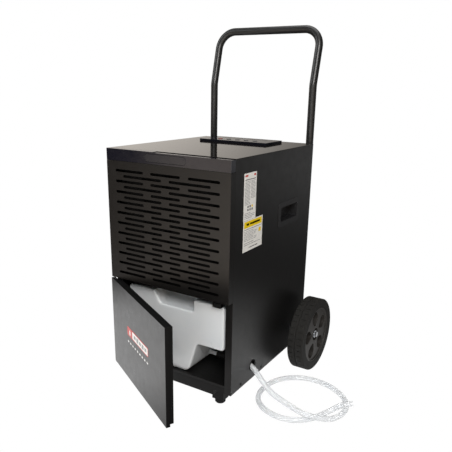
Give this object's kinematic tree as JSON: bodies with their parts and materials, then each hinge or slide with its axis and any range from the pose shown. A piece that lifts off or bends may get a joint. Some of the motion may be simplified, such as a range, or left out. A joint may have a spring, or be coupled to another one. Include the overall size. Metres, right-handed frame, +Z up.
{
  "type": "dehumidifier",
  "caption": "Wheeled commercial dehumidifier: black steel cabinet, slotted front, hinged tank door, white tank, bent tube push handle, clear drain hose.",
  "frame": {"origin": "on the floor, under the middle of the whole machine's box, the drain hose left out", "axes": "+Z up, the slotted front and the tank door face -Y, +X is the hose side"},
  "size_m": [0.7255, 0.7166, 1.0225],
  "materials": {
    "cabinet_paint": "semi-gloss black powder coat with a fine texture",
    "top_paint": "gloss black",
    "gloss_trim": "polished black",
    "display_plastic": "smoked window",
    "black_plastic": "fine moulded texture",
    "coil_fins": "bare fins",
    "copper_tube": "bare copper",
    "compressor_paint": "satin black enamel",
    "rubber_parts": "matte rubber",
    "fan_plastic": "satin",
    "motor_metal": "painted casting",
    "zinc_sheet": "galvanised",
    "board_resin": "solder mask",
    "capacitor_plastic": "moulded can",
    "key_red": "satin",
    "key_grey": "satin",
    "zinc_steel": "bright zinc plate",
    "tank_plastic": "translucent natural polyethylene",
    "float_foam": "moulded foam",
    "clear_hose": "clear soft PVC",
    "handle_paint": "gloss black powder coat",
    "wheel_plastic": "moulded polypropylene",
    "tyre_rubber": "matte tread",
    "label_white": "printed film",
    "label_notice": "printed film",
    "screw_paint": "black oxide"
  },
  "bodies": {
    "root": {"base_chassis": "cabinet_paint", "tank_tray": "black_plastic", "left_side_panel": "cabinet_paint", "right_side_panel": "cabinet_paint", "top_cover": "top_paint", "rear_panel": "cabinet_paint", "exhaust_guard": "cabinet_paint", "front_trim": "gloss_trim", "display_window": "display_plastic", "louvre_panel": "cabinet_paint", "air_filter": "black_plastic", "bay_partition": "cabinet_paint", "deck_plate": "cabinet_paint", "drip_tray": "black_plastic", "evaporator": "coil_fins", "condenser": "coil_fins", "copper_pipes": "copper_tube", "compressor": "compressor_paint", "compressor_mounts": "rubber_parts", "fan_shroud": "black_plastic", "motor_bracket": "cabinet_paint", "fan_motor": "motor_metal", "control_box": "zinc_sheet", "circuit_board": "board_resin", "run_capacitor": "capacitor_plastic", "control_plate": "gloss_trim", "hinge_bracket": "cabinet_paint", "magnet_catch": "black_plastic", "water_tank": "tank_plastic", "float_stem": "black_plastic", "drain_coupling": "black_plastic", "hose_grommet": "rubber_parts", "drain_hose": "clear_hose", "push_handle": "handle_paint", "handle_clamps": "handle_paint", "wheel_axle": "zinc_steel", "axle_bolts": "zinc_steel", "front_feet": "rubber_parts", "foot_brackets": "cabinet_paint", "left_grip": "black_plastic", "right_grip": "black_plastic", "rating_label": "label_white", "notice_label": "label_notice", "cable_gland": "black_plastic", "casing_screws": "screw_paint"},
    "door": {"door_skin": "cabinet_paint", "door_liner": "black_plastic", "hinge_pins": "zinc_steel", "strike_plate": "zinc_steel"},
    "fan": {"fan_rotor": "fan_plastic"},
    "float": {"tank_float": "float_foam"},
    "left_road_wheel": {"left_wheel": "wheel_plastic", "left_tyre": "tyre_rubber"},
    "right_road_wheel": {"right_wheel": "wheel_plastic", "right_tyre": "tyre_rubber"},
    "power_key": {"power_button": "key_red"},
    "mode_key": {"mode_button": "key_grey"},
    "up_key": {"up_button": "key_grey"},
    "down_key": {"down_button": "key_grey"},
    "timer_key": {"timer_button": "key_grey"}
  },
  "joints": [
    {"name": "door_hinge", "type": "hinge", "parent": "root", "child": "door", "pos_m": [-0.187, -0.1709, 0.2], "axis": [0, 0, 1], "range_deg": [-76, 29]},
    {"name": "left_wheel_spin", "type": "hinge", "parent": "root", "child": "left_road_wheel", "pos_m": [-0.244, 0.2321, 0.1125], "axis": [1, 0, 0], "continuous": true},
    {"name": "right_wheel_spin", "type": "hinge", "parent": "root", "child": "right_road_wheel", "pos_m": [0.244, 0.2321, 0.1125], "axis": [1, 0, 0], "continuous": true},
    {"name": "fan_spin", "type": "hinge", "parent": "root", "child": "fan", "pos_m": [0, -0.0279, 0.493], "axis": [0, 1, 0], "continuous": true},
    {"name": "float_rise", "type": "slide", "parent": "root", "child": "float", "axis": [0, 0, 1], "range_m": [0, 0.03]},
    {"name": "power_press", "type": "slide", "parent": "root", "child": "power_key", "axis": [0, 0, -1], "range_m": [0, 0.001], "stiffness_N_per_m": 900, "springref_m": -0.001},
    {"name": "mode_press", "type": "slide", "parent": "root", "child": "mode_key", "axis": [0, 0, -1], "range_m": [0, 0.001], "stiffness_N_per_m": 900, "springref_m": -0.001},
    {"name": "up_press", "type": "slide", "parent": "root", "child": "up_key", "axis": [0, 0, -1], "range_m": [0, 0.001], "stiffness_N_per_m": 900, "springref_m": -0.001},
    {"name": "down_press", "type": "slide", "parent": "root", "child": "down_key", "axis": [0, 0, -1], "range_m": [0, 0.001], "stiffness_N_per_m": 900, "springref_m": -0.001},
    {"name": "timer_press", "type": "slide", "parent": "root", "child": "timer_key", "axis": [0, 0, -1], "range_m": [0, 0.001], "stiffness_N_per_m": 900, "springref_m": -0.001}
  ]
}
